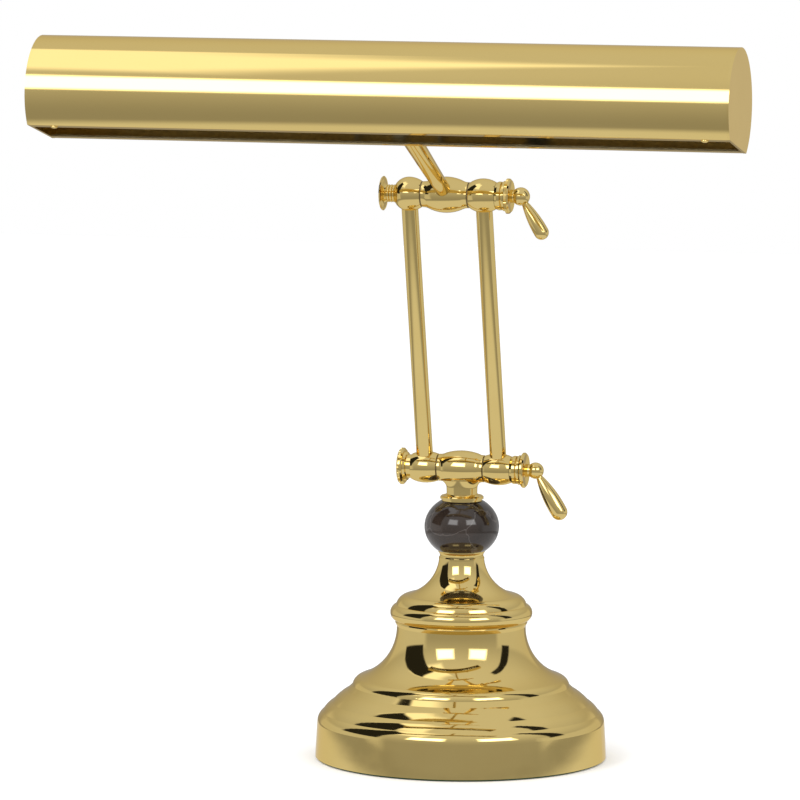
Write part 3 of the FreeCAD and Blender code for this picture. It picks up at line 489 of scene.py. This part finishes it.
def addPiece(name, places, faces, finish, body):
    mesh = bpy.data.meshes.new(name)
    mesh.from_pydata(np.asarray(places).reshape(-1, 3).tolist(), [], [tuple(face) for face in faces])
    mesh.polygons.foreach_set("use_smooth", np.full(len(mesh.polygons), True))
    mesh.update()
    mesh.set_sharp_from_angle(angle=math.radians(sharpAngle))
    piece = bpy.data.objects.new(name, mesh)
    bpy.context.collection.objects.link(piece)
    piece.data.materials.append(finish)
    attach(piece, body)
    return piece


def arcPoints(across, up, radius, turns):
    return np.stack([across + radius * np.cos(turns), up + radius * np.sin(turns)], axis=1)


def sheetSection(s):
    # the shade's cut: the outer arc with a rounded fold at each end, then the same sheet's inner side back
    radius, fold, wall, depth = s["radius"], s["fold"], s["wall"], s["depth"]
    # a fold's centre lies one fold radius above the lip and one inside the outer arc
    centreUp = -depth + fold
    centreAcross = math.sqrt((radius - fold) ** 2 - centreUp ** 2)
    arcEnd = math.atan2(centreUp, centreAcross)
    halfChord = math.sqrt(radius ** 2 - depth ** 2)
    lipEnd = halfChord - s["lip"]
    over = np.linspace(arcEnd, math.pi - arcEnd, s["arcPoints"])
    bend = np.linspace(math.pi - arcEnd, 1.5 * math.pi, s["foldPoints"])
    outer = [arcPoints(0, 0, radius, over)]
    outer.append(arcPoints(-centreAcross, centreUp, fold, bend)[1:])
    outer.append(np.array([[-lipEnd, -depth]]))
    inner = [np.array([[-lipEnd, -depth + wall]])]
    inner.append(arcPoints(-centreAcross, centreUp, fold - wall, bend)[::-1])
    inner.append(arcPoints(0, 0, radius - wall, over)[::-1][1:])
    left = np.concatenate(outer)
    right = np.concatenate(inner)
    mirror = np.array([-1, 1])
    # the right fold is the left one mirrored, so the loop runs: right lip, right fold, arc, left fold,
    # left lip, and back along the inside
    rightOuter = (np.concatenate(outer[1:]) * mirror)[::-1]
    rightInner = np.concatenate(inner[:2]) * mirror
    section = np.concatenate([rightOuter, left, right, rightInner[::-1][1:]])
    return section, len(rightOuter) + len(left)


def makeShade(s):
    section, outside = sheetSection(s)
    count = len(section)
    tilt = math.radians(s["tilt"])
    # section's first axis is across the opening, second is up; both turn together about X
    across = section[:, 0] * math.cos(tilt) - section[:, 1] * math.sin(tilt)
    upward = section[:, 0] * math.sin(tilt) + section[:, 1] * math.cos(tilt)
    ends = []
    for side in (-1, 1):
        along = np.full(count, side * s["half"])
        ends.append(np.stack([along, across + s["back"], upward + s["height"]], axis=1))
    places = np.concatenate(ends)
    step = np.arange(count)
    after = (step + 1) % count
    faces = np.stack([step, after, after + count, step + count], axis=1).tolist()
    faces.append(step[::-1].tolist())
    faces.append((step + count).tolist())
    sheet = addPiece("shadeSheet", places, faces, longBrass, "shade")
    # the inner faces take the inner brass, whose darker tone is painted shade
    sheet.data.materials.append(shadedInsideBrass)
    finish = np.zeros(len(faces), dtype=np.int32)
    finish[outside:count] = 1
    sheet.data.polygons.foreach_set("material_index", finish)
    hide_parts("shade_shell")


makeShade(shadeSet)
print("shade sheet made")


# Neck: the lower knuckle's neck again, a little wider upwards and flared along the barrel to both sides.
neckSet = {
    "low": 0.1387,
    "high": 0.1462,
    "radius": 0.00803,
    "waist": 0.00035,
    "flare": 0.0032,
    "flareStart": 0.45,  # share of the rise
    "flarePower": 2.2,
    "rings": 28,
    "columns": 144,
}


def makeNeck(s):
    # radius = foot radius + waist times the square of the rise + flare times the square of the sideways
    # share and a power of the rise past its start
    rise = np.linspace(0, 1, s["rings"] + 1)[:, None]
    turn = np.linspace(0, 2 * np.pi, s["columns"], endpoint=False)[None, :]
    sideways = np.cos(turn) ** 2
    late = np.clip((rise - s["flareStart"]) / (1 - s["flareStart"]), 0, 1) ** s["flarePower"]
    radius = s["radius"] + s["waist"] * rise ** 2 + s["flare"] * sideways * late
    height = s["low"] + (s["high"] - s["low"]) * rise + 0 * turn
    places = np.stack([radius * np.cos(turn), radius * np.sin(turn), height], axis=-1)
    faces = ringFaces(s["rings"], s["columns"]).reshape(-1, 4).tolist()
    faces.append(list(range(s["columns"]))[::-1])
    faces.append([s["rings"] * s["columns"] + step for step in range(s["columns"])])
    addPiece("neckFlare", places, faces, brass, "base")


makeNeck(neckSet)
print("neck flare made")


# Knurl: a fine straight knurl round the upper lever's disc.
knurlSet = {
    "back": -0.036288,
    "height": 0.297844,
    "start": 0.0322,
    "end": 0.0335,
    "radius": 0.00884,
    "depth": 0.00020,
    "inside": 0.0085,
    "teeth": 76,
    "perTooth": 4,
}


def makeKnurl(s):
    # radius = disc radius + depth times a triangle wave round the axis, between two plain inner rims
    count = s["teeth"] * s["perTooth"]
    turn = np.arange(count) * 2 * np.pi / count
    wave = np.abs((np.arange(count) % s["perTooth"]) / s["perTooth"] * 2 - 1)
    toothed = s["radius"] + s["depth"] * wave
    plain = np.full(count, s["inside"])
    rows = [(s["start"], plain), (s["start"], toothed), (s["end"], toothed), (s["end"], plain)]
    places = []
    for across, radius in rows:
        back = s["back"] + radius * np.cos(turn)
        places.append(np.stack([np.full(count, across), back, s["height"] + radius * np.sin(turn)], axis=-1))
    faces = ringFaces(3, count).reshape(-1, 4)
    step = np.arange(count)
    after = (step + 1) % count
    bore = np.stack([3 * count + step, 3 * count + after, after, step], axis=1)
    faces = np.concatenate([faces, bore]).tolist()
    addPiece("discKnurl", np.stack(places), faces, brass, "upper_lever")


makeKnurl(knurlSet)
print("knurl made")
